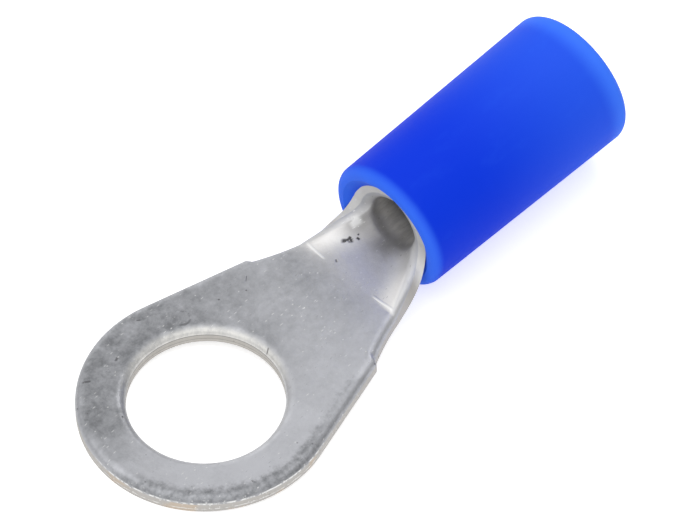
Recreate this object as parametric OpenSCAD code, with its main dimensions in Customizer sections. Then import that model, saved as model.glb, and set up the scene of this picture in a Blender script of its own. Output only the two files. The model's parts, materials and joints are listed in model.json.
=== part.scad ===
// Insulated crimp ring terminal for an M6 stud and 1.5 to 2.5 mm2 wire.
// One stamped sheet, flat at the ring and rolled into a barrel at the wire end,
// with a plastic sleeve pressed on the barrel.
// Origin: centre of the stud hole, on the face that lies on the bus bar.
// +X runs to the wire end, +Z points to the seam side of the barrel.

/* [Ring tongue] */
// Diameter of the stud hole
stud_hole_d = 6.5; // [5.4:0.1:8]
// Outside diameter of the ring
ring_d = 10.6; // [9.6:0.1:12]
// Thickness of the metal sheet
sheet_t = 0.75; // [0.5:0.05:0.9]
// Angle at which each flank closes in towards the neck, in degrees
flank_taper = 16; // [12:1:19]
// Distance from the hole centre to the end of the flanks
flank_end_x = 6; // [5.6:0.1:6.6]
// Inward step that the second blanking punch leaves at the end of each flank
blank_step = 0.14; // [0.04:0.02:0.24]
// Radius of the rolled-over upper edge round the outline
edge_roll = 0.32; // [0.1:0.02:0.4]
// Radius of the rolled-over upper edge of the stud hole
hole_roll = 0.25; // [0.1:0.01:0.4]

/* [Neck and curl] */
// Radius of the concave sides of the neck
neck_r = 11.5; // [9:0.5:16]
// Width at which the concave sides would level out
neck_w = 4.6; // [4.2:0.1:5]
// Length over which the sheet curls up from flat to round
curl_len = 2.84; // [2.4:0.1:3.4]
// Width of the flat floor where the curl starts
curl_floor_w = 2; // [0.4:0.2:2.8]
// Share of the curling that is spread evenly, the rest comes at the mouth
curl_even = 0.8; // [0.6:0.05:1]
// Fillet in the corner between the neck and the mouth of the barrel
root_fillet = 0.5; // [0.2:0.05:0.8]

/* [Barrel] */
// Bore that takes the stripped wire
barrel_bore_d = 2.4; // [1.8:0.1:2.8]
// Distance from the hole centre to the mouth of the barrel
mouth_x = 10.64; // [10:0.1:12]
// Length of the barrel behind its mouth
barrel_len = 6; // [4:0.5:8]
// How far the mouth is set back at the seam
mouth_setback = 0.22; // [0.1:0.02:0.4]
// Gap left between the butted edges of the seam
seam_gap = 0.06; // [0.02:0.01:0.15]
// Chamfer at the wire end of the bore
bore_chamfer = 0.2; // [0.1:0.05:0.3]

/* [Sleeve] */
// Length of the sleeve
sleeve_len = 11.2; // [9.5:0.1:14]
// Wall of the sleeve on the barrel, at its front end
sleeve_wall = 0.96; // [0.7:0.02:1.3]
// Growth of the outside diameter from the front end to the rear end
sleeve_flare = 0.3; // [0:0.05:0.6]
// How far the front of the sleeve stands in front of the mouth of the barrel
sleeve_lead = 0.26; // [0.1:0.02:0.5]
// Clearance between the barrel and the sleeve, on the radius
seat_clearance = 0.02; // [0.01:0.01:0.1]
// Extra diameter of the wire entry over the barrel
entry_extra_d = 0.6; // [0.2:0.1:0.8]
// Radius of the rounded outer rims of the sleeve
rim_round = 0.4; // [0.1:0.05:0.45]
// Bevel inside both ends of the sleeve
rim_bevel = 0.3; // [0.1:0.05:0.4]

/* [Hidden] */
$fn = 96;
metal_colour = [0.70, 0.71, 0.73];
sleeve_colour = [0.08, 0.22, 0.88];

ring_r = ring_d / 2;
barrel_ri = barrel_bore_d / 2;
barrel_ro = barrel_ri + sheet_t;
mid_r = barrel_ri + sheet_t / 2;        // neutral line of the rolled sheet
axis_z = barrel_ro;                     // the barrel's underside is level with the tongue's
barrel_end_x = mouth_x + barrel_len;
curl_start_x = mouth_x - curl_len;
fillet_x = mouth_x - root_fillet;

// Where the flank leaves the ring, and its half width at its end
flank_x = ring_r * sin(flank_taper);
flank_y = ring_r * cos(flank_taper);
flank_end_y = flank_y - tan(flank_taper) * (flank_end_x - flank_x);

// The neck's side is an arc that starts at the foot of the blanking step
neck_end_y = flank_end_y - blank_step;
neck_cy = neck_w / 2 + neck_r;
neck_cx = flank_end_x + sqrt(neck_r * neck_r - (neck_cy - neck_end_y) * (neck_cy - neck_end_y));
function neck_half_w(x) = neck_cy - sqrt(neck_r * neck_r - (neck_cx - x) * (neck_cx - x));

// Half widths of the flat blank at the mouth and along the barrel
mouth_half_w = neck_half_w(mouth_x) + root_fillet;
barrel_half_w = PI * mid_r - seam_gap / 2;
seam_x = mouth_x + mouth_setback;       // where the mouth meets the seam

cut = 0.5;                              // how far cutters reach past a surface
bore_stock = 0.03;                      // left on the inside of the roll for the round bore
step_run = 0.02;                        // length of the blanking step
tip_half_angle = 4;                     // the ring's tip is closed by one flat facet of twice this
ring_steps = 14;
neck_steps = 4;
curl_steps = 9;
fillet_steps = 4;
mouth_steps = 5;
span_steps = 20;                        // columns across the sheet
roll_steps = 3;                         // facets round a rolled-over edge

// Stations along the blank, from the ring's tip to the wire end:
// [distance x, half width, outward normal of the outline [x, across], stock for the bore]
function ring_station(a) = [-ring_r * cos(a), ring_r * sin(a), [-cos(a), sin(a)], 0];
function side_station(x) = [x, neck_half_w(x), [0, 1], 0];
stations = concat(
    [for (i = [0:ring_steps]) let (sweep = 90 + flank_taper - tip_half_angle)
        ring_station(tip_half_angle + sweep * i / ring_steps)],
    [[flank_end_x, flank_end_y, [sin(flank_taper), cos(flank_taper)], 0]],
    [for (i = [0:neck_steps - 1]) let (from = flank_end_x + step_run)
        side_station(from + (curl_start_x - from) * i / neck_steps)],
    [for (i = [0:curl_steps - 1])
        side_station(curl_start_x + (fillet_x - curl_start_x) * i / curl_steps)],
    [for (i = [0:fillet_steps]) let (a = 90 * i / fillet_steps, x = fillet_x + root_fillet * sin(a))
        [x, neck_half_w(x) + root_fillet * (1 - cos(a)), [-sin(a), cos(a)],
            bore_stock * i / fillet_steps]],
    [for (i = [1:mouth_steps]) let (part = i / mouth_steps)
        [mouth_x + mouth_setback * part, mouth_half_w + (barrel_half_w - mouth_half_w) * part,
            [-1, 0], bore_stock]],
    [for (x = [seam_x + 1.5 * edge_roll, barrel_end_x]) [x, barrel_half_w, [0, 0], bore_stock]]
);

// Progress of the curl, from 0 (flat) to 1 (round)
function curl_at(x) = min(1, max(0, (x - curl_start_x) / curl_len));

// Curvature of the curled sides at a stage of the curl
function curl_k(u) = max(0.0001, (curl_even * u + (1 - curl_even) * pow(u, 6)) / mid_r);

// Point of the bent sheet: s runs across the flat blank, h up from its lower face
function bent(x, s, h) =
    let (u = curl_at(x), k = curl_k(u), flat_s = curl_floor_w / 2 * (1 - u))
    let (turn = max(abs(s) - flat_s, 0) * k * 180 / PI, r = 1 / k + sheet_t / 2 - h)
    [x, sign(s) * (min(abs(s), flat_s) + r * sin(turn)), sheet_t / 2 + 1 / k - r * cos(turn)];

// Levels of the sheet's edge from its lower corner to the upper face: [set-back, height]
edge_levels = concat(
    [[0, 0]],
    [for (i = [0:roll_steps]) let (a = 90 * i / roll_steps)
        [edge_roll * (1 - cos(a)), sheet_t - edge_roll * (1 - sin(a))]]
);
top = len(edge_levels) - 1;

// Point of a station's section at a level, f across from -1 to 1
function section_point(st, level, f) =
    let (back = edge_levels[level][0], h = edge_levels[level][1])
    bent(st[0] - back * st[2][0], f * (st[1] - back * st[2][1]), h + (level == top ? st[3] : 0));

// Closed section: along the lower face, up the right edge, back on top, down the left edge
function section(st) = concat(
    [for (i = [0:span_steps]) section_point(st, 0, 2 * i / span_steps - 1)],
    [for (level = [1:top]) section_point(st, level, 1)],
    [for (i = [1:span_steps - 1]) section_point(st, top, 1 - 2 * i / span_steps)],
    [for (level = [top:-1:1]) section_point(st, level, -1)]
);

// The whole sheet, cut to its outline and curled
module rolled_sheet() {
    n = 2 * (span_steps + top);         // points in a section
    right = span_steps;                 // index of the right lower corner
    end = n * (len(stations) - 1);      // index of the wire end's first point
    function above(c) = 2 * span_steps + top - c;
    polyhedron(
        points = [for (st = stations) for (p = section(st)) p],
        faces = concat(
            // The facet at the ring's tip, one strip for each level
            [[n - 1, for (j = [0:right + 1]) j]],
            [for (j = [1:top - 2]) [n - j, right + j, right + j + 1, n - j - 1]],
            [[n - top + 1, for (j = [right + top - 1:n - top]) j]],
            // The skin between neighbouring stations
            [for (i = [0:n:end - n]) for (j = [0:n - 1]) let (k = (j + 1) % n)
                [i + j, i + n + j, i + n + k, i + k]],
            // The wire end, one strip for each column
            [[end + above(1), end + 1, end, for (j = [n - 1:-1:n - top]) end + j]],
            [for (c = [1:right - 2])
                [end + above(c), end + above(c + 1), end + c + 1, end + c]],
            [[end + above(right - 1), for (j = [right + top:-1:right - 1]) end + j]]
        )
    );
}

// Stud hole with its rolled-over upper edge
module stud_hole() {
    hole_r = stud_hole_d / 2;
    translate([0, 0, -cut]) cylinder(r = hole_r, h = sheet_t + 2 * cut);
    rotate_extrude()
        polygon(concat(
            [[hole_r - cut, sheet_t + cut], [hole_r - cut, sheet_t - hole_roll]],
            [for (i = [0:roll_steps]) let (a = 90 * i / roll_steps)
                [hole_r + hole_roll * (1 - cos(a)), sheet_t - hole_roll * (1 - sin(a))]],
            [[hole_r + hole_roll + cut, sheet_t + cut]]
        ));
}

// Wire bore of the barrel with its chamfer
module wire_bore() {
    translate([mouth_x - bore_stock, 0, axis_z]) rotate([0, 90, 0])
        cylinder(r = barrel_ri, h = barrel_len + cut);
    translate([barrel_end_x - bore_chamfer, 0, axis_z]) rotate([0, 90, 0])
        cylinder(r1 = barrel_ri, r2 = barrel_ri + 2 * bore_chamfer, h = 2 * bore_chamfer);
}

module terminal() {
    color(metal_colour)
        difference() {
            rolled_sheet();
            stud_hole();
            wire_bore();
        }
}

// Half of the sleeve's lengthwise section, as [radius, distance from its front end]
module sleeve_profile() {
    seat_r = barrel_ro + seat_clearance;
    front_r = seat_r + sleeve_wall;
    rear_r = front_r + sleeve_flare / 2;
    entry_r = barrel_ro + entry_extra_d / 2;
    seat_end = sleeve_lead + barrel_len;
    widening = entry_r - seat_r;
    difference() {
        union() {
            polygon([
                [seat_r, rim_round], [front_r, rim_round], [rear_r, sleeve_len - rim_round],
                [rear_r - rim_round, sleeve_len - rim_round], [seat_r, sleeve_len - rim_round]
            ]);
            translate([seat_r, 0]) square([front_r - rim_round - seat_r, sleeve_len]);
            translate([front_r - rim_round, rim_round]) circle(r = rim_round);
            translate([rear_r - rim_round, sleeve_len - rim_round]) circle(r = rim_round);
            translate([seat_r, sleeve_len - rim_round])
                square([rear_r - rim_round - seat_r, rim_round]);
        }
        polygon([
            [0, -cut], [seat_r + rim_bevel + cut, -cut], [seat_r, rim_bevel],
            [seat_r, seat_end], [entry_r, seat_end + 3 * widening], [entry_r, sleeve_len - rim_bevel],
            [entry_r + rim_bevel + cut, sleeve_len + cut], [0, sleeve_len + cut]
        ]);
    }
}

module insulating_sleeve() {
    color(sleeve_colour)
        translate([mouth_x - sleeve_lead, 0, axis_z]) rotate([0, 90, 0])
            rotate_extrude() sleeve_profile();
}

terminal();
insulating_sleeve();
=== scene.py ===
"""Insulated ring terminal: a stamped, curled and tin-plated sheet with a blue sleeve."""

import json
import math

import bmesh
import bpy
from bpy.props import FloatProperty, FloatVectorProperty, IntProperty, PointerProperty
from mathutils import Matrix, Vector


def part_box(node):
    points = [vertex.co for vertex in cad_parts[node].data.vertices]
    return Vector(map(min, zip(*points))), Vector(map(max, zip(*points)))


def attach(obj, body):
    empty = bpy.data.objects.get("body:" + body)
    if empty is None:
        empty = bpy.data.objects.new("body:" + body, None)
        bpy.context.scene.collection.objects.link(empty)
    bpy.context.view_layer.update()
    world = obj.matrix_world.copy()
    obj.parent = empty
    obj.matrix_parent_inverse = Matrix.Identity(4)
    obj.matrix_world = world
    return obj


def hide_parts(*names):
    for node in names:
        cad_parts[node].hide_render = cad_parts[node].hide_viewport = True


bl_info = {
    "name": "Ring Terminal",
    "version": (1, 0, 0),
    "blender": (4, 5, 0),
    "location": "View3D > Sidebar > Terminal",
    "description": "Builds an insulated ring terminal and its stage",
    "category": "Add Mesh",
}

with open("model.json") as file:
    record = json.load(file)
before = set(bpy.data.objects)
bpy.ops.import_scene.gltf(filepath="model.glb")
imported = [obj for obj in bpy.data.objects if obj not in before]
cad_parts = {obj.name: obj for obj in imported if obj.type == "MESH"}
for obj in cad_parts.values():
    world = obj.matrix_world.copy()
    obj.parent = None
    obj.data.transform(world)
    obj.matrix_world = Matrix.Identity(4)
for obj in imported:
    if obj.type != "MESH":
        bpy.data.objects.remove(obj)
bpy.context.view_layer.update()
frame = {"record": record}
TERMINAL_LOW, TERMINAL_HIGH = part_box("terminal")
SLEEVE_LOW, SLEEVE_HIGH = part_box("insulating_sleeve")
MOUNTS = {m["name"]: m for m in frame["record"]["mounts"]}

MM = 0.001
RING_R = -TERMINAL_LOW[0]
HOLE_R = MOUNTS["stud_hole"]["dims"]["r_mm"] * MM
BORE_R = MOUNTS["wire_bore"]["dims"]["r_mm"] * MM
ENTRY_R = MOUNTS["wire_entry"]["dims"]["r_mm"] * MM
AXIS_Z = MOUNTS["wire_bore"]["pos_m"][2]
BARREL_END = TERMINAL_HIGH[0]
SLEEVE_R = (SLEEVE_HIGH[1] - SLEEVE_LOW[1]) / 2

# Points closer than this are one point, and shorter edges than the other are dropped
WELD, SLIVER = 2e-7, 1e-8


# ---------------------------------------------------------------- formulas on sockets


class Value:
    """An output socket that takes part in formulas."""

    def __init__(self, net, socket):
        self.net, self.socket = net, socket

    def math(self, operation, *others, clamp=False):
        return self.net.math(operation, self, *others, clamp=clamp)

    def __add__(self, other):
        return self.math("ADD", other)

    __radd__ = __add__

    def __sub__(self, other):
        return self.math("SUBTRACT", other)

    def __rsub__(self, other):
        return self.net.math("SUBTRACT", other, self)

    def __mul__(self, other):
        return self.math("MULTIPLY", other)

    __rmul__ = __mul__

    def __truediv__(self, other):
        return self.math("DIVIDE", other)

    def __rtruediv__(self, other):
        return self.net.math("DIVIDE", other, self)

    def __pow__(self, other):
        return self.math("POWER", other)

    def __abs__(self):
        return self.math("ABSOLUTE")

    def at_least(self, other):
        return self.math("MAXIMUM", other)

    def at_most(self, other):
        return self.math("MINIMUM", other)

    def sin(self):
        return self.math("SINE")

    def cos(self):
        return self.math("COSINE")

    def root(self):
        return self.math("SQRT")

    def sign(self):
        return self.math("SIGN")

    def held(self):
        """The value kept between 0 and 1."""
        return self.math("ADD", 0.0, clamp=True)

    def step(self, low, high):
        """Rises smoothly from 0 at low to 1 at high, or falls where high is less."""
        if high < low:
            return 1 - self.step(high, low)
        node = self.net.node(
            "ShaderNodeMapRange",
            {"interpolation_type": "SMOOTHSTEP"},
            Value=self,
            **{"From Min": low, "From Max": high},
        )
        return self.net.out(node, "Result")

    def band(self, middle, half, soft):
        """1 within half of the middle, 0 past half + soft."""
        return abs(self - middle).step(half + soft, half)


class Net:
    """A node tree, and short ways to add to it."""

    def __init__(self, tree):
        self.tree = tree

    def node(self, kind, settings=None, **inputs):
        node = self.tree.nodes.new(kind)
        for name, value in (settings or {}).items():
            setattr(node, name, value)
        for name, value in inputs.items():
            self.feed(node.inputs[name], value)
        return node

    def feed(self, socket, value):
        if isinstance(value, Value):
            self.tree.links.new(value.socket, socket)
        elif isinstance(value, bpy.types.NodeSocket):
            self.tree.links.new(value, socket)
        else:
            socket.default_value = value

    def out(self, node, name=0):
        return Value(self, node.outputs[name])

    def math(self, operation, *values, clamp=False):
        node = self.tree.nodes.new("ShaderNodeMath")
        node.operation = operation
        node.use_clamp = clamp
        for socket, value in zip(node.inputs, values):
            self.feed(socket, value)
        return Value(self, node.outputs[0])

    def split(self, vector):
        node = self.node("ShaderNodeSeparateXYZ", Vector=vector)
        return [Value(self, s) for s in node.outputs]

    def join(self, x, y, z):
        return self.out(self.node("ShaderNodeCombineXYZ", X=x, Y=y, Z=z))

    def mix(self, factor, a, b):
        """Colour a where factor is 0, and b where it is 1."""
        node = self.tree.nodes.new("ShaderNodeMix")
        node.data_type = "RGBA"
        for index, value in ((0, factor), (6, a), (7, b)):
            self.feed(node.inputs[index], value)
        return Value(self, node.outputs[2])

    def noise(self, place, scale, detail=2.0, roughness=0.5):
        node = self.node(
            "ShaderNodeTexNoise", Vector=place, Scale=scale, Detail=detail, Roughness=roughness
        )
        return self.out(node, "Fac")

    def cells(self, place, scale):
        """Distance to the nearest of many scattered points."""
        node = self.node("ShaderNodeTexVoronoi", {"feature": "F1"}, Vector=place, Scale=scale)
        return self.out(node, "Distance")

    def placed(self, place, move=(0, 0, 0), turn=(0, 0, 0), size=(1, 1, 1)):
        node = self.node(
            "ShaderNodeMapping", Vector=place, Location=move, Rotation=turn, Scale=size
        )
        return self.out(node)


# ---------------------------------------------------------------- sizes and colours


def length(name, description, default):
    return FloatProperty(
        name=name, description=description, default=default * MM, min=0.0,
        unit="LENGTH", subtype="DISTANCE", precision=5,
    )


def angle(name, description, default):
    return FloatProperty(
        name=name, description=description, default=math.radians(default),
        subtype="ANGLE", unit="ROTATION",
    )


def colour(name, description, default):
    return FloatVectorProperty(
        name=name, description=description, default=default, size=3, min=0.0, max=1.0,
        subtype="COLOR",
    )


class TerminalSizes(bpy.types.PropertyGroup):
    """Sizes of the stamped and curled sheet"""

    thickness: length("Sheet thickness", "Thickness of the metal sheet", 0.75)
    edge_sag: length("Edge sag", "Radius of the gentle fall towards the outline", 0.60)
    edge_fall: angle("Edge fall", "Slope that the gentle fall reaches", 25)
    edge_round: length("Edge rounding", "Radius of the outline's upper corner", 0.32)
    hole_sag: length("Hole sag", "Radius of the gentle fall towards the stud hole", 0.55)
    hole_fall: angle("Hole fall", "Slope that the gentle fall reaches", 40)
    hole_round: length("Hole rounding", "Radius of the stud hole's upper corner", 0.30)
    flank_taper: angle("Flank taper", "Angle at which each flank closes in", 16)
    flank_end: length("Flank end", "Distance from the hole centre to the end of the flanks", 6.0)
    blank_step: length("Blanking step", "Inward step at the end of each flank", 0.14)
    neck_r: length("Neck radius", "Radius of the concave sides of the neck", 11.5)
    neck_w: length("Neck width", "Width at which the concave sides level out", 4.6)
    curl_length: length("Curl length", "Length over which the sheet goes from flat to round", 2.49)
    curl_floor: length("Curl floor", "Width of the flat floor where the curl starts", 2.0)
    curl_even: FloatProperty(
        name="Even curl", description="Share of the curling that is spread evenly",
        default=0.83, min=0.0, max=1.0, subtype="FACTOR",
    )
    curl_onset: FloatProperty(
        name="Onset", description="Power at which the curl sets in, where 1 is gentle",
        default=0.8, min=0.3, max=2.0,
    )
    curl_blend: FloatProperty(
        name="End blend", description="How gently the curl runs into the barrel",
        default=0.22, min=0.01, max=0.5,
    )
    root_fillet: length("Root fillet", "Fillet between the neck and the mouth", 0.5)
    barrel_length: length("Barrel length", "Length of the barrel behind its mouth", 6.0)
    mouth_setback: length("Mouth set-back", "How far the mouth is set back at the seam", 0.22)
    seam_gap: length("Seam gap", "Gap between the butted edges of the seam", 0.06)
    chamfer: length("Bore chamfer", "Chamfer at the wire end of the bore", 0.2)


class SleeveSizes(bpy.types.PropertyGroup):
    """Sizes of the plastic sleeve"""

    seat_clearance: length("Seat clearance", "Clearance between barrel and sleeve", 0.02)
    flare: length("Flare", "Growth of the outside diameter towards the rear", 0.3)
    rim_round: length("Rim rounding", "Radius of the outer rims", 0.4)
    front_bevel: length("Front bevel", "Bevel inside the end at the ring", 0.42)
    rim_bevel: length("Rear bevel", "Bevel inside the wire end", 0.3)
    segments: IntProperty(
        name="Segments", description="Faces round the sleeve", default=160, min=24, max=512
    )


class FinishColours(bpy.types.PropertyGroup):
    """Colours of the finishes"""

    plate: colour("Tin plate", "Colour of the plated sheet", (0.565, 0.572, 0.605))
    # Also the colour of the painted shade along the rolled outer edge
    plate_dark: colour("Tarnish", "Colour of the tarnished patches", (0.222, 0.228, 0.24))
    neck: colour("Neck", "Colour of the sheet where it is curled", (0.70, 0.69, 0.67))
    # Painted highlight on the stud hole's rolled edge, strongest on its +X+Y side
    painted_rim_highlight: colour("Rubbed edge", "Colour of the rolled-over edges", (0.78, 0.77, 0.74))
    cut: colour("Cut edge", "Colour of the cut walls", (0.50, 0.475, 0.44))
    # Also used for painted shade deep in the bore and a painted dark line round the stud hole
    pit: colour("Pits", "Colour in pits and bruises", (0.05, 0.048, 0.05))
    sleeve: colour("Sleeve", "Colour of the plastic sleeve", (0.001, 0.037, 0.71))
    wing: colour("Wing walls", "Colour of the cut walls at the mouth", (0.66, 0.65, 0.62))
    # Painted light: lightens the inside of the barrel, where little light reaches
    bore: colour("Bore", "Colour inside the barrel", (0.90, 0.88, 0.84))
    # Painted shade on the inner faces of the wings in front of the bore
    painted_shade: colour("Soot", "Colour of the soot in front of the bore", (0.29, 0.28, 0.275))
    # Streaks along the bore, and painted shade on its +Y wall towards the seam
    bore_streaks_and_shade: colour("Smears", "Colour of the smears in the bore", (0.36, 0.35, 0.34))
    # Painted highlight on the sides of the neck where the curl starts
    painted_neck_highlight: colour("Gleam", "Colour of the polished sides of the neck", (0.92, 0.90, 0.87))
    stain: colour("Stain", "Colour of the copper that shows on the cut", (0.62, 0.49, 0.36))
    chip: colour("Chips", "Colour of bright specks and chips", (0.85, 0.85, 0.84))
    # Painted light at the sleeve's ends
    sleeve_painted_light: colour("Pale sleeve", "Colour at the sleeve's ends", (0.055, 0.215, 1.0))


class StageSizes(bpy.types.PropertyGroup):
    """The floor, the lamp and the camera"""

    floor_size: FloatProperty(
        name="Floor size", description="Side of the floor", default=2.0,
        unit="LENGTH", subtype="DISTANCE",
    )
    floor_seen: FloatProperty(
        name="Floor seen", description="Glow of the floor that only the camera sees",
        default=0.32, min=0.0,
    )
    floor_glow: FloatProperty(
        name="Floor glow", description="Glow of the floor that lights the part",
        default=0.25, min=0.0,
    )
    lamp_size: length("Lamp size", "Side of the lamp at the rear", 20)
    lamp_power: FloatProperty(
        name="Lamp power", description="Power of the lamp at the rear", default=0.0034,
        min=0.0, precision=4,
    )
    lens: FloatProperty(
        name="Lens", description="Focal length", default=504.4, subtype="DISTANCE_CAMERA"
    )
    camera_far: length("Camera distance", "Distance from the camera to its target", 400)
    camera_yaw: angle("Yaw", "Turn of the camera round the part", -44.385)
    camera_pitch: angle("Pitch", "Height of the camera over the part", 52.717)
    camera_roll: angle("Roll", "Turn of the camera round its own axis", -1.289)


# ---------------------------------------------------------------- helpers for meshes


def patch(bm, rows, closed=False):
    """Quads between neighbouring rows of points."""
    verts = [[bm.verts.new(p) for p in row] for row in rows]
    for a, b in zip(verts, verts[1:]):
        last = len(a) if closed else len(a) - 1
        for j in range(last):
            k = (j + 1) % len(a)
            bm.faces.new((a[j], a[k], b[k], b[j]))


def finish_mesh(bm, name):
    """Welds the patches, turns the faces outwards and links the object."""
    bmesh.ops.remove_doubles(bm, verts=bm.verts, dist=WELD)
    bmesh.ops.dissolve_degenerate(bm, edges=bm.edges, dist=SLIVER)
    bmesh.ops.recalc_face_normals(bm, faces=bm.faces)
    mesh = bpy.data.meshes.new(name)
    bm.to_mesh(mesh)
    bm.free()
    piece = bpy.data.objects.new(name, mesh)
    bpy.context.collection.objects.link(piece)
    return piece


def new_tree(name, numbers):
    """A Geometry Nodes tree with named inputs: a shape, these numbers and a material."""
    tree = bpy.data.node_groups.new(name, "GeometryNodeTree")
    tree.interface.new_socket("Geometry", in_out="OUTPUT", socket_type="NodeSocketGeometry")
    kinds = {"Geometry": "Geometry", **dict.fromkeys(numbers, "Float"), "Material": "Material"}
    for label, kind in kinds.items():
        tree.interface.new_socket(label, in_out="INPUT", socket_type="NodeSocket" + kind)
    return tree


def end_tree(net, given, shape):
    """Ends a tree with real geometry in the material that the tree is given."""
    whole = net.node("GeometryNodeRealizeInstances", Geometry=shape)
    painted = net.node(
        "GeometryNodeSetMaterial", Geometry=whole.outputs[0], Material=given.outputs["Material"]
    )
    net.node("NodeGroupOutput", Geometry=painted.outputs[0])


def baked(piece, tree, values, name, sharp):
    """Runs the tree on the piece and keeps the result, sharp past this angle in degrees."""
    modifier = piece.modifiers.new(tree.name, "NODES")
    modifier.node_group = tree
    keys = {s.name: s.identifier for s in tree.interface.items_tree if s.in_out == "INPUT"}
    for label, value in values.items():
        modifier[keys[label]] = value
    graph = bpy.context.evaluated_depsgraph_get()
    mesh = bpy.data.meshes.new_from_object(piece.evaluated_get(graph))
    modifier.id_data.modifiers.remove(modifier)
    result = bpy.data.objects.new(name, mesh)
    bpy.context.collection.objects.link(result)
    bpy.data.objects.remove(piece)
    mesh.shade_smooth()
    mesh.set_sharp_from_angle(angle=math.radians(sharp))
    return result


def fresh_net(owner):
    """The emptied node tree of a material or a world."""
    owner.use_nodes = True
    owner.node_tree.nodes.clear()
    return Net(owner.node_tree)


def surface(name, build):
    """A material whose nodes are made by build(net, shader)."""
    material = bpy.data.materials.new(name)
    net = fresh_net(material)
    shader = net.node("ShaderNodeBsdfPrincipled")
    net.node("ShaderNodeOutputMaterial", Surface=shader.outputs[0])
    build(net, shader)
    return material


# ---------------------------------------------------------------- finishes

# Noises of the tin plating: scale per mm, detail and roughness
PLATE_NOISES = {
    "cloud": (0.45, 3, 0.55),
    "mottle": (1.7, 4, 0.6),
    "blotch": (4.6, 3, 0.6),
    "wear": (3.5, 3, 0.55),
    "grain": (16, 2, 0.6),
}
# Straight marks: middle on the flat blank in mm, direction in degrees, half length, width
NICKS = (
    (-2.9, 3.91, -34, 0.20, 0.06), (5.30, 2.97, 38, 0.16, 0.02),
    (3.36, -0.18, 28, 0.11, 0.03), (8.50, 0.97, 60, 0.09, 0.04),
    (-1.25, 3.85, 20, 0.12, 0.06), (0.75, 4.62, -40, 0.10, 0.04),
)
BRUISES = (
    (9.48, 1.42, -42, 0.26, 0.10), (9.60, 1.46, 20, 0.10, 0.07),
    (9.86, 1.20, -80, 0.09, 0.05), (9.98, 1.36, 30, 0.05, 0.04),
)
# A curved dent: its centre and radius in mm
DING = (2.05, 3.42, 0.34)


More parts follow.
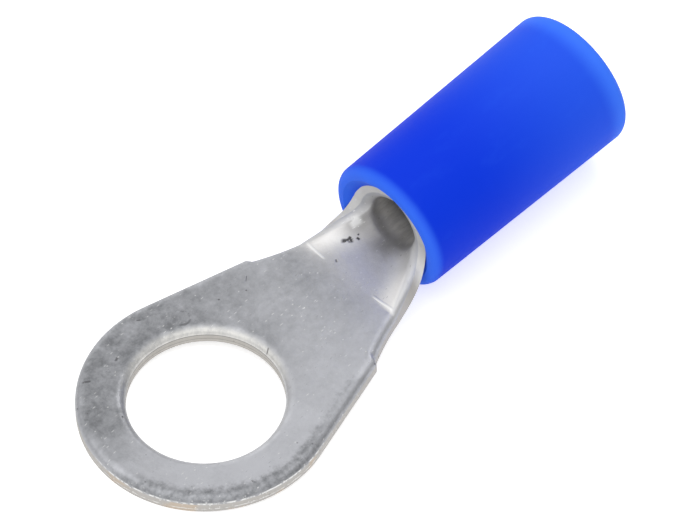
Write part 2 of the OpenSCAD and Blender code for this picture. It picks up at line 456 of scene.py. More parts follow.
class Plate:
    """Places on the flat blank, in mm, and the patterns that its finish is made of."""

    def __init__(self, net, sizes):
        self.net, self.sizes = net, sizes
        blank = net.out(net.node("ShaderNodeAttribute", {"attribute_name": "blank"}), "Vector")
        self.hole_roll, self.edge_roll, self.cut = (
            net.out(net.node("ShaderNodeAttribute", {"attribute_name": name}), "Fac")
            for name in ("hole_roll", "edge_roll", "cut")
        )
        self.place = net.placed(blank, size=(1000, 1000, 1000))
        self.x, self.y, self.h = net.split(self.place)
        self.r, self.arm = (self.x * self.x + self.y * self.y).root(), abs(self.y)
        self.mouth = (BARREL_END - sizes.barrel_length) / MM
        self.curl = self.mouth - sizes.curl_length / MM
        for name, (scale, detail, roughness) in PLATE_NOISES.items():
            setattr(self, name, net.noise(self.place, scale, detail, roughness))
        # The upper face with and without its rolled edges, and the rolled edges alone
        self.upper = self.h.step(0.40, 0.72)
        self.face = self.h.step(0.70, 0.74)
        self.rim = (self.hole_roll + self.edge_roll).held()
        # The side of the ring towards -X-Y, and the side of the stud hole towards +X+Y
        self.low_side = (self.x * -0.55 - self.y * 0.84).step(0.5, 4.0) * self.x.step(3.5, 0.5)
        self.far_side = (self.x + self.y).step(0.2, 2.8)
        # Behind the mouth, and along the barrel and round the hole in fine lines
        self.bore = self.x.step(self.mouth + 0.16, self.mouth + 0.76) * self.face
        self.streak = net.noise(net.placed(self.place, size=(0.45, 1.6, 1)), 2.0, 3, 0.6)
        turn = self.y.math("ARCTAN2", self.x)
        self.ray = net.noise(net.join(turn * 6, self.r * 1.6, 0), 2.0, 4, 0.7)

    def moved_noise(self, move, scale, detail):
        return self.net.noise(self.net.placed(self.place, move=move), scale, detail)

    def flecks(self, scale, low, high, move=(0, 0, 0), turn=0, stretch=1):
        """Separate dots, or dashes where they are stretched."""
        place = self.net.placed(self.place, move=move, turn=(0, 0, turn), size=(1, stretch, 1))
        return self.net.cells(place, scale).step(high, low)

    def hairlines(self, turn, stretch, scale, low, high):
        place = self.net.placed(self.place, turn=(0, 0, turn), size=(0.5, stretch, 1))
        return self.net.noise(place, scale, 3, 0.65).step(low, high)

    def strokes(self, marks):
        """Short straight marks, fading at their ends."""
        total = 0
        for cx, cy, degrees, half, wide in marks:
            c, s = math.cos(math.radians(degrees)), math.sin(math.radians(degrees))
            along = (self.x - cx) * c + (self.y - cy) * s
            side = (self.y - cy) * c - (self.x - cx) * s
            mark = along.band(0, half * 0.6, half * 0.6) * side.band(0, wide * 0.4, wide)
            total = mark + total
        return total

    def tarnish(self):
        """How dark the plating is: clouds, mostly on the ring's +Y side, and painted shade on the
        edge.
        """
        x, y = self.x, self.y
        side = (y + x * 0.12).step(-2.4, 3.4) * (0.42 + x.step(5.5, 0.5) * 0.58)
        uneven = (self.cloud - 0.5) * 1.6 + (self.mottle - 0.5) * 1.1 + (self.blotch - 0.5) * 1.1
        dark = side * 0.72 + uneven * (0.34 + side * 0.55) + 0.05 + x.band(5.5, 1.5, 2.5) * 0.10
        # The distance out to the ring's edge, and past it to the straight flanks
        taper = self.sizes.flank_taper
        slant = x * math.sin(taper) + self.arm * math.cos(taper)
        out = self.r + (slant - self.r) * x.step(0.8, 2.2)
        out = out + (self.blotch - 0.5) * 0.45 + (self.mottle - 0.5) * 0.3
        # Painted shade along the rolled outer edge and in a soft band inside the outline on the -Y
        # side, strongest towards -X-Y, with a speckle of tarnish over it
        below = y.step(0.5, -2.0) * x.step(5.6, 4.4)
        on_edge = self.edge_roll.step(0.0, 0.30) * 0.6 + out.step(4.40, 4.95) * below
        on_edge = on_edge.held() * (1 - self.cut)
        speckle = (self.blotch - 0.5) * (0.6 + self.low_side * 0.9)
        painted_shade = on_edge * (0.52 + self.low_side * 0.35 + speckle)
        return (dark + (painted_shade - dark) * (on_edge * 0.85)).held()

    def marks(self):
        """The plate's marks by name, each from 0 to 1."""
        x, y, mottle, blotch = self.x, self.y, self.mottle, self.blotch
        worn = self.moved_noise((4, 4, 4), 0.9, 2)
        patch = x.band(1.9, 0.5, 0.7) * y.band(3.8, 0.4, 0.5)
        cx, cy, radius = DING
        ring = ((x - cx) ** 2 + (y - cy) ** 2).root().band(radius, 0.02, 0.05)
        pit = self.flecks(1.7, 0.04, 0.11) * self.net.noise(self.place, 1.3, 1).step(0.50, 0.56)
        speck = self.flecks(2.4, 0.06, 0.13, move=(3, 7, 1), stretch=1.6)
        dash = self.flecks(1.5, 0.06, 0.16, turn=0.7, stretch=4.5)
        dull_dash = self.flecks(1.7, 0.06, 0.15, move=(2, 5, 0), turn=-0.5, stretch=4)
        chips = self.flecks(3.4, 0.10, 0.22, move=(5, 1, 8), turn=0.5, stretch=2.2)
        wings = x.band(self.mouth - 0.34, 0.6, 0.4) * worn.step(0.42, 0.55)
        seam = self.arm.step(3.9, 4.4) * x.step(self.mouth + 0.86, self.mouth + 0.56)
        bright_rims = (self.low_side + wings + seam).held() * self.rim
        scratch = self.hairlines(0.6, 7, 1.7, 0.63, 0.70) + self.hairlines(-0.9, 8, 1.5, 0.64, 0.70)
        # The bend lines lie across both sides of the neck, where the curl starts, painted as bright
        # highlight lines
        crease_x = self.curl + 0.11 + (self.arm - 1.9) * 0.04
        glint = x.band(self.mouth - 0.49, 0.10, 0.20) * y.band(2.0, 0.12, 0.25)
        return {
            "patch": patch,
            "pit": pit,
            "speck": speck * self.moved_noise((9, 2, 4), 1.1, 1).step(0.44, 0.52),
            "dash": dash * worn.step(0.46, 0.54) * self.upper,
            "dull_dash": dull_dash * worn.step(0.52, 0.44) * self.upper,
            "scratch": scratch * self.upper,
            "crease": x.band(crease_x, 0.02, 0.06) * self.arm.band(1.95, 0.40, 0.25),
            "glint": glint * mottle.step(0.44, 0.56),
            "nick": self.strokes(NICKS).held(),
            "bruise": (self.strokes(BRUISES) * blotch.step(0.30, 0.46)).held(),
            "ding": ring * (x - y).step(-1.75, -1.25) * blotch.step(0.38, 0.55),
            "chips": chips * patch * mottle.step(0.45, 0.55),
            "sparkle": self.flecks(5.5, 0.12, 0.26, move=(1, 6, 2)) * bright_rims,
        }

    def colour(self, tones, marks):
        """The plate's colour, laid on in coats."""
        x, y, mouth, bore, cut = self.x, self.y, self.mouth, self.bore, self.cut
        on_wings = (x + y * 0.25).step(mouth - 1.04, mouth + 0.06) * (1 - bore) * self.face
        # Painted shade on the inner faces of the wings in front of the bore, fading out towards -Y
        painted_shading = y.step(-2.6, -0.4) * on_wings * (0.60 + self.cloud.step(0.35, 0.65) * 0.30)
        # Streaks along the bore, and painted shade on the bore's +Y wall
        bore_streaks_and_shade = bore * (self.streak.step(0.36, 0.66) * 0.35 + y.step(1.6, 3.4) * 0.3)
        # Painted shade deeper inside the bore
        painted_deep_shade = bore * (x + y * 0.15).step(mouth + 1.06, mouth + 2.06)
        # Painted highlight on both sides of the neck, just behind the crease
        painted_neck_highlight = self.arm.step(1.3, 2.1) * x.band(self.curl + 0.85, 0.45, 0.7) * self.face
        # Painted highlight on the stud hole's rolled edge, faint all round and strongest on its
        # +X+Y side, in radial streaks
        painted_rim_highlight = 0.15 + self.far_side * (0.45 + self.ray.step(0.30, 0.70) * 0.45)
        wall = self.net.mix(x.step(mouth - 1.04, mouth - 0.64), (*tones.cut, 1), (*tones.wing, 1))
        stain = cut * self.low_side * self.moved_noise((7, 3, 3), 0.8, 3).step(0.48, 0.62)
        black = marks["pit"] * 0.65 + marks["nick"] * 0.6 + marks["ding"] * 0.4
        black = black + marks["dull_dash"] * 0.30 + marks["bruise"] * 0.95 * self.upper
        # Light marks, with painted highlights along the bend lines
        white = marks["speck"] * 0.55 * self.upper + marks["crease"] * 0.8 + marks["chips"] * 0.7
        white = white + marks["dash"] * 0.5 + marks["glint"] * 0.8
        white = white + marks["sparkle"] * self.mottle.step(0.42, 0.5) * 0.9
        # Painted highlight: a thin bright line along the rolled outer edge on the -X-Y side
        corner = self.edge_roll.band(0.80, 0.06, 0.10) * self.low_side
        white = white + corner * self.blotch.step(0.35, 0.6)
        coats = (
            (self.tarnish(), tones.plate_dark),
            (x.step(self.curl - 0.95, self.curl + 0.65) * 0.6 * self.upper, tones.neck),
            # Painted light inside the bore
            (bore * 0.9, tones.bore),
            (painted_shading, tones.painted_shade),
            (bore_streaks_and_shade, tones.bore_streaks_and_shade),
            (painted_deep_shade * 0.9, tones.pit),
            (painted_neck_highlight * (0.25 + self.cloud * 0.5), tones.painted_neck_highlight),
            (self.hole_roll.step(0.0, 0.4) * painted_rim_highlight, tones.painted_rim_highlight),
            ((cut * (1 - self.upper)).held() * 0.8, wall),
            (stain * 0.55, tones.stain),
            # Painted shade: a dark line where the stud hole's wall meets its rolled edge, darker on
            # the +X+Y side
            (self.hole_roll.band(0.93, 0.03, 0.05) * (0.25 + self.far_side * 0.4), tones.pit),
            (black.held(), tones.pit),
            (white.held(), tones.chip),
        )
        colour = (*tones.plate, 1)
        for amount, tone in coats:
            colour = self.net.mix(amount, colour, tone if isinstance(tone, Value) else (*tone, 1))
        return colour

    def roughness(self, marks):
        uneven = (self.mottle - 0.5) * 0.18 + (self.grain - 0.5) * 0.20
        on_wings = self.x.step(self.mouth - 2.04, self.mouth - 1.04)
        rough = 0.38 + on_wings * 0.08 + uneven + self.rim * 0.06
        return rough - marks["scratch"] * 0.08 + marks["pit"] * 0.2

    def relief(self, marks):
        """Height of the fine relief, in units of the bump distance."""
        rolled_in = self.hole_roll.step(0.0, 0.2) * (1 - self.cut)
        in_mouth = self.x.step(self.mouth - 1.04, self.mouth - 0.04)
        return (
            (self.grain - 0.5) * (0.5 + self.rim * 0.5)
            + (self.blotch - 0.5) * (1.3 + marks["patch"] * 3)
            + (self.wear - 0.5) * (0.8 + self.rim * 3.0)
            + (self.ray - 0.5) * rolled_in * 2
            + (self.streak - 0.5) * in_mouth * 3
            + marks["crease"] * 1.5 + marks["dash"] * 0.8 + marks["sparkle"]
            - marks["pit"] * 1.2 - marks["nick"] * 2 - marks["bruise"] * 1.5
            - marks["scratch"] * 0.35 - marks["dull_dash"] * 0.8
        )


def tin_plate():
    """Dull tin plating: mottled grey, with pits, specks, scratches, bend lines painted as
    highlights, and painted light and shade.
    """
    tones = bpy.context.scene.finish_colours
    sizes = bpy.context.scene.terminal_sizes

    def build(net, shader):
        plate = Plate(net, sizes)
        marks = plate.marks()
        net.feed(shader.inputs["Base Color"], plate.colour(tones, marks))
        net.feed(shader.inputs["Metallic"], 0.75)
        net.feed(shader.inputs["Roughness"], plate.roughness(marks))
        bump = net.node(
            "ShaderNodeBump", Strength=0.7, Distance=0.008 * MM, Height=plate.relief(marks)
        )
        net.feed(shader.inputs["Normal"], bump.outputs[0])

    return surface("tin_plate", build)


def blue_plastic():
    """Satin moulded plastic, a little uneven, with faint scuffs and painted light at both ends."""
    tones = bpy.context.scene.finish_colours
    front, rear = SLEEVE_LOW[0] / MM, SLEEVE_HIGH[0] / MM

    def build(net, shader):
        own = net.out(net.node("ShaderNodeTexCoord"), "Object")
        place = net.placed(own, size=(1000, 1000, 1000))
        x = net.split(place)[0]
        scuff = net.noise(net.placed(place, size=(0.6, 1.4, 1.4)), 0.55, 4, 0.6).step(0.56, 0.76)
        peel = net.noise(place, 1.4, 2, 0.5)
        fine = net.noise(place, 7, 2, 0.5)
        # Painted light: paler towards the rear end, and at the front end where its bevel lies in
        # shade
        painted_light_rear = x.step(front + 2.62, rear - 0.58) * 0.30 + x.step(rear - 1.28, rear - 0.28) * 0.5
        painted_light_front = x.step(front + 0.52, front + 0.02) * 0.62
        net.feed(
            shader.inputs["Base Color"],
            net.mix(
                (scuff * 0.05 + painted_light_rear + painted_light_front).held(),
                (*tones.sleeve, 1), (*tones.sleeve_painted_light, 1),
            ),
        )
        net.feed(shader.inputs["Roughness"], 0.55 + scuff * 0.10 + (fine - 0.5) * 0.08)
        shader.inputs["Specular IOR Level"].default_value = 0.08
        bump = net.node(
            "ShaderNodeBump", Strength=0.5, Distance=0.02 * MM,
            Height=(peel - 0.5) * 1.2 + (fine - 0.5) * 0.15,
        )
        net.feed(shader.inputs["Normal"], bump.outputs[0])

    return surface("blue_plastic", build)


# ---------------------------------------------------------------- the stamped sheet


def curl_tree():
    """Bends a flat blank into the terminal: x along it, y across it, z through it."""
    tree = new_tree(
        "Curl the blank",
        (
            "Curl start", "Curl length", "Neutral radius", "Floor width",
            "Even share", "Onset", "End blend", "Thickness",
        ),
    )
    net = Net(tree)
    given = net.node("NodeGroupInput")
    x, s, h = net.split(net.out(net.node("GeometryNodeInputPosition")))
    radius, thickness = net.out(given, "Neutral radius"), net.out(given, "Thickness")
    even = net.out(given, "Even share")
    blend = net.out(given, "End blend")
    u = (x - net.out(given, "Curl start")) / net.out(given, "Curl length")
    u = u.at_least(0.0).at_most(1.2)
    # The share of the full curl, which runs gently into 1 at the barrel
    share = even * u ** net.out(given, "Onset") + (1 - even) * u**6
    low = ((1 - share) / blend * 0.5 + 0.5).held()
    share = share * low + (1 - low) - blend * low * (1 - low)
    bend = (share / radius).at_least(1.0)
    flat = net.out(given, "Floor width") * 0.5 * (1 - u).at_least(0.0)
    turn = (abs(s) - flat).at_least(0.0) * bend
    reach = 1 / bend + thickness * 0.5 - h
    across = s.sign() * (abs(s).at_most(flat) + reach * turn.sin())
    up = h + reach * 2 * (turn * 0.5).sin() ** 2
    kept = net.node(
        "GeometryNodeStoreNamedAttribute",
        {"data_type": "FLOAT_VECTOR", "domain": "POINT"},
        Geometry=given.outputs["Geometry"],
        Name="blank",
        Value=net.out(net.node("GeometryNodeInputPosition")),
    )
    moved = net.node(
        "GeometryNodeSetPosition",
        Geometry=kept.outputs[0],
        Selection=net.out(net.node("FunctionNodeCompare", None, A=u, B=0.0)),
        Position=net.join(x, across, up),
    )
    end_tree(net, given, moved.outputs[0])
    return tree


# How finely the blank is divided, along its outline and across
ARC_STEPS, FLANK_STEPS, TAPER_STEPS, PUNCH_STEPS = 96, 12, 10, 4
NECK_STEPS, CURL_STEPS, FILLET_STEPS, MOUTH_STEPS = 24, 56, 14, 32
BARREL_STEPS, ROLL_STEPS, ACROSS_STEPS = 8, 8, 84
# Shares of the way from the outline to the stud hole
TO_HOLE = (0, 0.03, 0.12, 0.3, 0.5, 0.7, 0.88, 0.97, 1)
# Where the ring's mesh joins the neck's, the run of the blanking step, and the height
# of a loop of points low on every wall
JOIN_X, STEP_RUN, LOW_LOOP = 4.4 * MM, 0.12 * MM, 0.2 * MM


def rolled(sag, fall, corner, top):
    """Set-back and height up a wall and over its rolled edge to the upper face."""
    width = sag * math.sin(fall) + corner * (1 - math.sin(fall))
    depth = sag * (1 - math.cos(fall)) + corner * math.cos(fall)
    out = [(0.0, 0.0), (0.0, LOW_LOOP)]
    for i in range(ROLL_STEPS):
        a = math.pi / 2 - (math.pi / 2 - fall) * i / ROLL_STEPS
        out.append((corner * (1 - math.sin(a)), top - depth + corner * math.cos(a)))
    for i in range(ROLL_STEPS):
        a = fall * (1 - i / (ROLL_STEPS - 1))
        out.append((width - sag * math.sin(a), top - sag * (1 - math.cos(a))))
    return out


class Blank:
    """The flat blank: where its outline runs and how its edges are rolled over."""

    def __init__(self, z):
        self.z = z
        self.mid_r = BORE_R + z.thickness / 2
        self.mouth_x = BARREL_END - z.barrel_length
        self.curl_start = self.mouth_x - z.curl_length
        self.fillet_x = self.mouth_x - z.root_fillet
        self.sin, self.cos = math.sin(z.flank_taper), math.cos(z.flank_taper)
        self.flank_x, self.flank_y = RING_R * self.sin, RING_R * self.cos
        self.flank_end_y = self.flank_w(z.flank_end)
        self.neck_cy = z.neck_w / 2 + z.neck_r
        side = self.neck_cy - (self.flank_end_y - z.blank_step)
        self.neck_cx = z.flank_end + math.sqrt(z.neck_r**2 - side**2)
        self.mouth_w = self.neck_w(self.mouth_x) + z.root_fillet
        self.barrel_w = math.pi * self.mid_r - z.seam_gap / 2
        self.edge = rolled(z.edge_sag, z.edge_fall, z.edge_round, z.thickness)
        self.hole = rolled(z.hole_sag, z.hole_fall, z.hole_round, z.thickness)

    def neck_w(self, x):
        return self.neck_cy - math.sqrt(self.z.neck_r**2 - (self.neck_cx - x) ** 2)

    def flank_w(self, x):
        return self.flank_y - self.sin / self.cos * (x - self.flank_x)

    def ring_stations(self):
        """From the ring's tip to the join with the neck, on one side: x, half width, normal."""
        arc = math.pi / 2 + self.z.flank_taper
        out = []
        for i in range(ARC_STEPS + 1):
            cos, sin = math.cos(arc * i / ARC_STEPS), math.sin(arc * i / ARC_STEPS)
            out.append((-RING_R * cos, RING_R * sin, -cos, sin))
        for i in range(1, FLANK_STEPS + 1):
            x = self.flank_x + (JOIN_X - self.flank_x) * i / FLANK_STEPS
            out.append((x, self.flank_w(x), self.sin, self.cos))
        return out

    def neck_stations(self):
        """From the join to the barrel's wire end: x, half width, normal, chamfer."""
        z, out = self.z, []
        for i in range(TAPER_STEPS + 1):
            x = JOIN_X + (z.flank_end - JOIN_X) * i / TAPER_STEPS
            out.append((x, self.flank_w(x), self.sin, self.cos, 0))
        for i in range(1, PUNCH_STEPS):
            t = i / PUNCH_STEPS
            width = self.flank_end_y - z.blank_step * t * t * (3 - 2 * t)
            turned = z.flank_taper * (1 - t)
            x = z.flank_end + STEP_RUN * t
            out.append((x, width, math.sin(turned), math.cos(turned), 0))
        for start, end, steps in (
            (z.flank_end + STEP_RUN, self.curl_start, NECK_STEPS),
            (self.curl_start, self.fillet_x, CURL_STEPS),
        ):
            for i in range(steps):
                x = start + (end - start) * i / steps
                out.append((x, self.neck_w(x), 0.0, 1.0, 0))
        for i in range(FILLET_STEPS + 1):
            a = math.pi / 2 * i / FILLET_STEPS
            x = self.fillet_x + z.root_fillet * math.sin(a)
            width = self.neck_w(x) + z.root_fillet * (1 - math.cos(a))
            out.append((x, width, -math.sin(a), math.cos(a), 0))
        for i in range(1, MOUTH_STEPS + 1):
            t = i / MOUTH_STEPS
            width = self.mouth_w + (self.barrel_w - self.mouth_w) * t
            out.append((self.mouth_x + z.mouth_setback * t, width, -1.0, 0.0, 0))
        # The barrel starts clear of the mouth's rolled edge
        start = self.mouth_x + z.mouth_setback + 1.2 * self.edge[-1][0]
        for i in range(BARREL_STEPS + 1):
            x = start + (BARREL_END - z.chamfer - start) * i / BARREL_STEPS
            out.append((x, self.barrel_w, 0.0, 0.0, 0))
        out.append((BARREL_END, self.barrel_w, 0.0, 0.0, z.chamfer))
        return out


def at(x, width, nx, ny, back=0.0, height=0.0, share=1.0):
    """A point set back from the outline, or at a share of the width there."""
    return Vector((x - back * nx, share * (width - back * ny), height))


def outwards(point, radius, height):
    """The point at this radius and height, in the same direction from the stud hole."""
    out = Vector((point.x, point.y, 0)).normalized() * radius
    out.z = height
    return out


def mirrored(points):
    """The same points on the other side, in reverse and without the first."""
    return [Vector((p.x, -p.y, p.z)) for p in reversed(points[1:])]


def add_neck(bm, blank, columns):
    """Neck, curl and barrel as sections from the join to the wire end, and its cap."""
    levels, (back_top, top) = blank.edge, blank.edge[-1]
    rows = []
    for *side, chamfer in blank.neck_stations():
        high = top - chamfer
        row = [at(*side, 0, 0, f) for f in columns]
        row += [at(*side, b, min(h, high)) for b, h in levels[1:]]
        row += [at(*side, back_top, high, f) for f in reversed(columns[:-1])]
        row += [at(*side, b, min(h, high), -1) for b, h in reversed(levels[1:-1])]
        rows.append(row)
    patch(bm, rows, closed=True)
    # The cap: strips between the columns, with the edge's heights on the outer ones
    heights = sorted({min(h, high) for b, h in levels})
    patch(bm, [[at(*side, 0, h, f) for f in columns[1:-1]] for h in (0, high)])
    for hand in (-1, 1):
        loop = [at(*side, 0, h, hand) for h in heights]
        loop += [at(*side, 0, h, hand * columns[-2]) for h in (high, 0)]
        bm.faces.new([bm.verts.new(p) for p in loop])


def add_ring(bm, blank, columns):
    """The ring: both faces and both walls, between the stud hole and the outline."""
    ring, loops = blank.ring_stations(), []
    for back, height in (blank.edge[0], blank.edge[-1]):
        side = [at(*p, back, height) for p in ring]
        joint = [at(*ring[-1], back, height, f) for f in reversed(columns[1:-1])]
        loops.append(side + joint + mirrored(side))
    for loop, (back, height) in zip(loops, (blank.hole[0], blank.hole[-1])):
        inner = [outwards(p, HOLE_R + back, height) for p in loop]
        patch(bm, [[p.lerp(q, t) for p, q in zip(loop, inner)] for t in TO_HOLE], closed=True)
    outer_wall = []
    for back, height in blank.edge:
        side = [at(*p, back, height) for p in ring]
        outer_wall.append(mirrored(side) + side)
    patch(bm, outer_wall)
    hole_wall = []
    for back, height in blank.hole:
        loop = loops[0] if height == 0 else loops[1]
        hole_wall.append([outwards(p, HOLE_R + back, height) for p in loop])
    patch(bm, hole_wall, closed=True)


def mark_edges(bm, blank):
    """Stores how far down a rolled edge each point lies, and which points are on a cut."""
    near = 1e-6
    top = blank.z.thickness
    hole_roll, edge_roll, cut = (
        bm.verts.layers.float.new(name) for name in ("hole_roll", "edge_roll", "cut")
    )
    for v in bm.verts:
        height = v.co.z
        at_hole = math.hypot(v.co.x, v.co.y) < HOLE_R + blank.hole[-1][0] + near
        wall_top = (blank.hole if at_hole else blank.edge)[2][1]
        down = min(1.0, (top - height) / (top - wall_top)) if height > near else 0.0
        v[hole_roll if at_hole else edge_roll] = down
        v[cut] = float(height < wall_top + near)


def flat_blank(z):
    """The whole blank as a closed mesh, not yet curled."""
    blank, bm = Blank(z), bmesh.new()
    # Columns from one side to the other, with a supporting one beside each side
    support = 0.02
    width = 2 - 2 * support
    columns = [-1 + support + width * i / ACROSS_STEPS for i in range(ACROSS_STEPS + 1)]
    columns = [-1.0, *columns, 1.0]
    add_neck(bm, blank, columns)
    add_ring(bm, blank, columns)
    bmesh.ops.remove_doubles(bm, verts=bm.verts, dist=WELD)
    mark_edges(bm, blank)
    return blank, bm


class TERMINAL_OT_sheet(bpy.types.Operator):
    """Stamp the blank, curl it into the terminal and plate it"""

    bl_idname = "terminal.sheet"
    bl_label = "Stamped sheet"

    def execute(self, context):
        z = context.scene.terminal_sizes
        blank, bm = flat_blank(z)
        flat = finish_mesh(bm, "flat_blank")
        piece = baked(
            flat,
            curl_tree(),
            {
                "Curl start": blank.curl_start,
                "Curl length": z.curl_length,
                "Neutral radius": blank.mid_r,
                "Floor width": z.curl_floor,
                "Even share": z.curl_even,
                "Onset": z.curl_onset,
                "End blend": z.curl_blend,
                "Thickness": z.thickness,
                "Material": tin_plate(),
            },
            "stamped_sheet",
            sharp=38,
        )
        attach(piece, "root")
        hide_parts("terminal")
        return {"FINISHED"}


# ---------------------------------------------------------------- the sleeve

RIM_STEPS, SEAM_WELD = 12, 2e-6


def turning_tree():
    """Wraps a strip round the barrel's axis: x along it, y the angle, z the radius."""
    tree = new_tree("Turn the section", ("Axis height",))
    net = Net(tree)
    given = net.node("NodeGroupInput")
    x, turn, radius = net.split(net.out(net.node("GeometryNodeInputPosition")))
    height = net.out(given, "Axis height") + radius * turn.cos()
    place = net.join(x, radius * turn.sin(), height)
    moved = net.node(
        "GeometryNodeSetPosition", Geometry=given.outputs["Geometry"], Position=place
    )
    # The strip's two ends meet
    welded = net.node(
        "GeometryNodeMergeByDistance", Geometry=moved.outputs[0], Distance=SEAM_WELD
    )
    end_tree(net, given, welded.outputs[0])
    return tree


def quarter(x, radius, corner, toward):
    """A rounded rim from the side to the end face, which looks toward -1 or 1."""
    out = []
    for i in range(RIM_STEPS + 1):
        a = math.pi / 2 * i / RIM_STEPS
        out.append((x - toward * corner * (1 - math.sin(a)), radius - corner * (1 - math.cos(a))))
    return out


def sleeve_section(z):
    """The sleeve's closed half section, as distance along it and radius."""
    front, rear = SLEEVE_LOW[0], SLEEVE_HIGH[0]
    seat_r = AXIS_Z + z.seat_clearance
    front_r = SLEEVE_R - z.flare / 2
    corner = z.rim_round
    # The inner bevels end in a small soft edge on the end faces
    soft_x, soft_r = 0.04 * MM, 0.03 * MM
    lip_r = seat_r + z.front_bevel
    points = [
        (front + z.rim_bevel, seat_r),
        (front + soft_x, lip_r - soft_r),
        (front, lip_r + soft_r),
        (front, front_r - corner - 0.02 * MM),
    ]
    points += reversed(quarter(front, front_r, corner, -1))
    for t in (0.02, 0.2, 0.4, 0.6, 0.8, 0.98):
        x = front + corner + (rear - front - 2 * corner) * t
        points.append((x, front_r + (SLEEVE_R - front_r) * t))
    points += quarter(rear, SLEEVE_R, corner, 1)
    lip_r = ENTRY_R + z.rim_bevel
    points += [(rear, lip_r + soft_r), (rear - soft_x, lip_r - soft_r)]
    points.append((rear - z.rim_bevel, ENTRY_R))
    # The entry narrows to the seat in a cone behind the barrel
    points.append((BARREL_END + 3 * (ENTRY_R - seat_r), ENTRY_R))
    points.append((BARREL_END, seat_r))
    return points


class TERMINAL_OT_sleeve(bpy.types.Operator):
    """Turn the plastic sleeve that is pressed on the barrel"""

    bl_idname = "terminal.sleeve"
    bl_label = "Insulating sleeve"

    def execute(self, context):
        z = context.scene.sleeve_sizes
        section = sleeve_section(z)
        bm = bmesh.new()
        rows = []
        for i in range(z.segments + 1):
            turn = 2 * math.pi * i / z.segments
            rows.append([Vector((x, turn, r)) for x, r in section])
        patch(bm, rows, closed=True)
        mesh = bpy.data.meshes.new("sleeve_strip")
        bm.to_mesh(mesh)
        bm.free()
        strip = bpy.data.objects.new("sleeve_strip", mesh)
        context.collection.objects.link(strip)
        piece = baked(
            strip,
            turning_tree(),
            {"Axis height": AXIS_Z, "Material": blue_plastic()},
            "moulded_sleeve",
            sharp=32,
        )
        fix = bmesh.new()
        fix.from_mesh(piece.data)
        bmesh.ops.recalc_face_normals(fix, faces=fix.faces)
        fix.to_mesh(piece.data)
        fix.free()
        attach(piece, "root")
        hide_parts("insulating_sleeve")
        return {"FINISHED"}


# ---------------------------------------------------------------- the stage

# Soft boxes round the object: azimuth and height in degrees, strength, and how narrow
SOFT_BOXES = (
    (0, 90, 0.66, 9), (60, 55, 0.28, 9), (120, 55, 0.75, 9),
    (180, 55, 0.54, 9), (240, 55, 0.56, 9), (300, 55, 0.28, 9),
    (0, 20, 0.34, 9), (45, 20, 0.36, 9), (90, 20, 0.50, 9), (135, 20, 0.50, 9),
    (180, 20, 0.90, 9), (225, 20, 0.80, 9), (270, 20, 0.56, 9), (315, 20, 0.43, 9),
    (-25, 60, 1.1, 30), (63, 18, 0.9, 18), (225, 72, 0.7, 25),
)
# Where the lamp hangs, in metres
LAMP_PLACE = (0.045, 0.010, 0.036)
# What the camera looks at, and how far to the right and up from there, in mm
CAMERA_TARGET, CAMERA_SHIFT = (8.0, 0.0, 0.0), (0.206, 1.201)


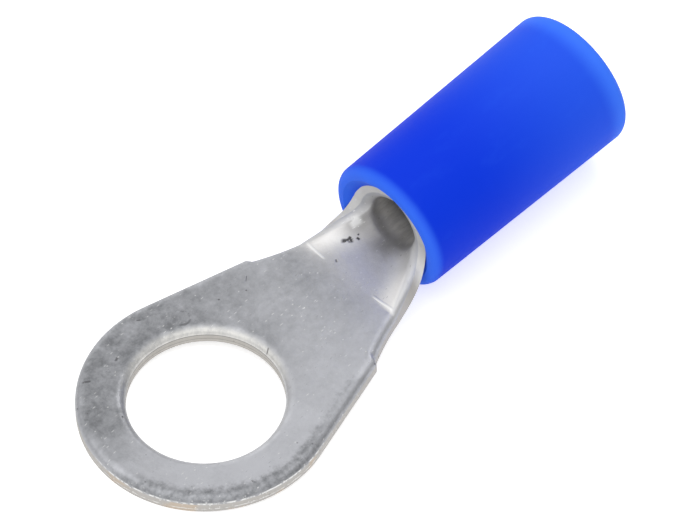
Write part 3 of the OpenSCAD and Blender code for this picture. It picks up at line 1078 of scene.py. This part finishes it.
class TERMINAL_OT_stage(bpy.types.Operator):
    """Lay the floor, set the light and the camera"""

    bl_idname = "terminal.stage"
    bl_label = "Stage"

    def execute(self, context):
        z = context.scene.stage_sizes
        self.floor(z)
        self.world(context.scene)
        self.lamp(z)
        self.camera(context.scene, z)
        context.scene.view_settings.view_transform = "Standard"
        return {"FINISHED"}

    def floor(self, z):
        """A pale floor that the ring's tip and the sleeve's front rim lie on."""
        sleeve = bpy.context.scene.sleeve_sizes
        rim_x = SLEEVE_LOW[0] + sleeve.rim_round
        rim_z = AXIS_Z - SLEEVE_R + sleeve.flare / 2
        tip = Vector((-RING_R, 0, 0))
        tilt = math.atan2(-rim_z, rim_x + RING_R)
        bm = bmesh.new()
        half = z.floor_size / 2
        turn = Matrix.Rotation(tilt, 4, "Y")
        corners = ((-half, -half), (half, -half), (half, half), (-half, half))
        bm.faces.new([bm.verts.new(tip + turn @ Vector((x, y, 0))) for x, y in corners])
        mesh = bpy.data.meshes.new("floor")
        bm.to_mesh(mesh)
        bm.free()
        floor = bpy.data.objects.new("floor", mesh)
        bpy.context.collection.objects.link(floor)
        material = bpy.data.materials.new("floor_white")
        net = fresh_net(material)
        ray = net.node("ShaderNodeLightPath")
        seen = net.out(ray, "Is Camera Ray") * z.floor_seen + z.floor_glow
        matt = net.node("ShaderNodeBsdfDiffuse", Color=(0.85, 0.85, 0.85, 1))
        glow = net.node("ShaderNodeEmission", Color=(1, 1, 1, 1), Strength=seen)
        both = net.node("ShaderNodeAddShader")
        net.feed(both.inputs[0], matt.outputs[0])
        net.feed(both.inputs[1], glow.outputs[0])
        net.node("ShaderNodeOutputMaterial", Surface=both.outputs[0])
        mesh.materials.append(material)

    def world(self, scene):
        """White behind the object, and soft boxes all round that only light it."""
        scene.world = bpy.data.worlds.new("studio")
        net = fresh_net(scene.world)
        ray = net.node("ShaderNodeLightPath")
        seen = (net.out(ray, "Is Camera Ray") + net.out(ray, "Is Transmission Ray")).held()
        x, y, z = net.split(net.out(net.node("ShaderNodeTexCoord"), "Generated"))
        room = 0
        for azimuth, height, strength, narrow in SOFT_BOXES:
            a, e = math.radians(azimuth), math.radians(height)
            facing = x * (math.cos(e) * math.cos(a)) + y * (math.cos(e) * math.sin(a))
            facing = facing + z * math.sin(e)
            room = ((facing - 1) * narrow).math("EXPONENT") * strength + room
        light = room * (1 - seen) + seen
        back = net.node("ShaderNodeBackground", Color=(1, 1, 1, 1), Strength=light)
        net.node("ShaderNodeOutputWorld", Surface=back.outputs[0])

    def lamp(self, z):
        """A small lamp over the sleeve's rear end."""
        light = bpy.data.lights.new("lamp", "AREA")
        light.size = z.lamp_size
        light.energy = z.lamp_power
        lamp = bpy.data.objects.new("lamp", light)
        lamp.location = LAMP_PLACE
        aim = Vector((SLEEVE_HIGH[0], 0, AXIS_Z)) - lamp.location
        lamp.rotation_euler = aim.to_track_quat("-Z", "Y").to_euler()
        bpy.context.collection.objects.link(lamp)

    def camera(self, scene, z):
        """A long lens from the ring's side, a little above the part."""
        lens = bpy.data.cameras.new("camera")
        lens.lens = z.lens
        lens.sensor_width = 36.0
        lens.clip_start, lens.clip_end = 0.01, 20.0
        camera = bpy.data.objects.new("camera", lens)
        bpy.context.collection.objects.link(camera)
        yaw, pitch, roll = z.camera_yaw, z.camera_pitch, z.camera_roll
        level = math.cos(pitch)
        back = Vector((math.sin(yaw) * level, -math.cos(yaw) * level, math.sin(pitch)))
        right = Vector((math.cos(yaw), math.sin(yaw), 0))
        up = back.cross(right)
        right, up = (
            right * math.cos(roll) + up * math.sin(roll),
            up * math.cos(roll) - right * math.sin(roll),
        )
        target = Vector(CAMERA_TARGET) + right * CAMERA_SHIFT[0] + up * CAMERA_SHIFT[1]
        facing = Matrix((right, up, back)).transposed().to_4x4()
        camera.matrix_world = Matrix.Translation(target * MM + back * z.camera_far) @ facing
        scene.camera = camera


# ---------------------------------------------------------------- panel and registration


class TERMINAL_PT_panel(bpy.types.Panel):
    """Lists the pieces"""

    bl_label = "Ring Terminal"
    bl_idname = "TERMINAL_PT_panel"
    bl_space_type = "VIEW_3D"
    bl_region_type = "UI"
    bl_category = "Terminal"

    def draw(self, context):
        scene = context.scene
        for name in GROUPS:
            group, box = getattr(scene, name), self.layout.box()
            for label in group.__annotations__:
                box.prop(group, label)
        for operator in OPERATORS:
            self.layout.operator(operator.bl_idname)


GROUPS = {
    "terminal_sizes": TerminalSizes,
    "sleeve_sizes": SleeveSizes,
    "finish_colours": FinishColours,
    "stage_sizes": StageSizes,
}
OPERATORS = (TERMINAL_OT_stage, TERMINAL_OT_sheet, TERMINAL_OT_sleeve)


def register():
    for group in GROUPS.values():
        bpy.utils.register_class(group)
    for name, group in GROUPS.items():
        setattr(bpy.types.Scene, name, PointerProperty(type=group))
    for cls in (*OPERATORS, TERMINAL_PT_panel):
        bpy.utils.register_class(cls)


def unregister():
    for cls in (TERMINAL_PT_panel, *reversed(OPERATORS)):
        bpy.utils.unregister_class(cls)
    for name, group in GROUPS.items():
        delattr(bpy.types.Scene, name)
        bpy.utils.unregister_class(group)


def main():
    register()
    bpy.ops.terminal.stage()
    bpy.ops.terminal.sheet()
    bpy.ops.terminal.sleeve()


if __name__ == "__main__":
    main()
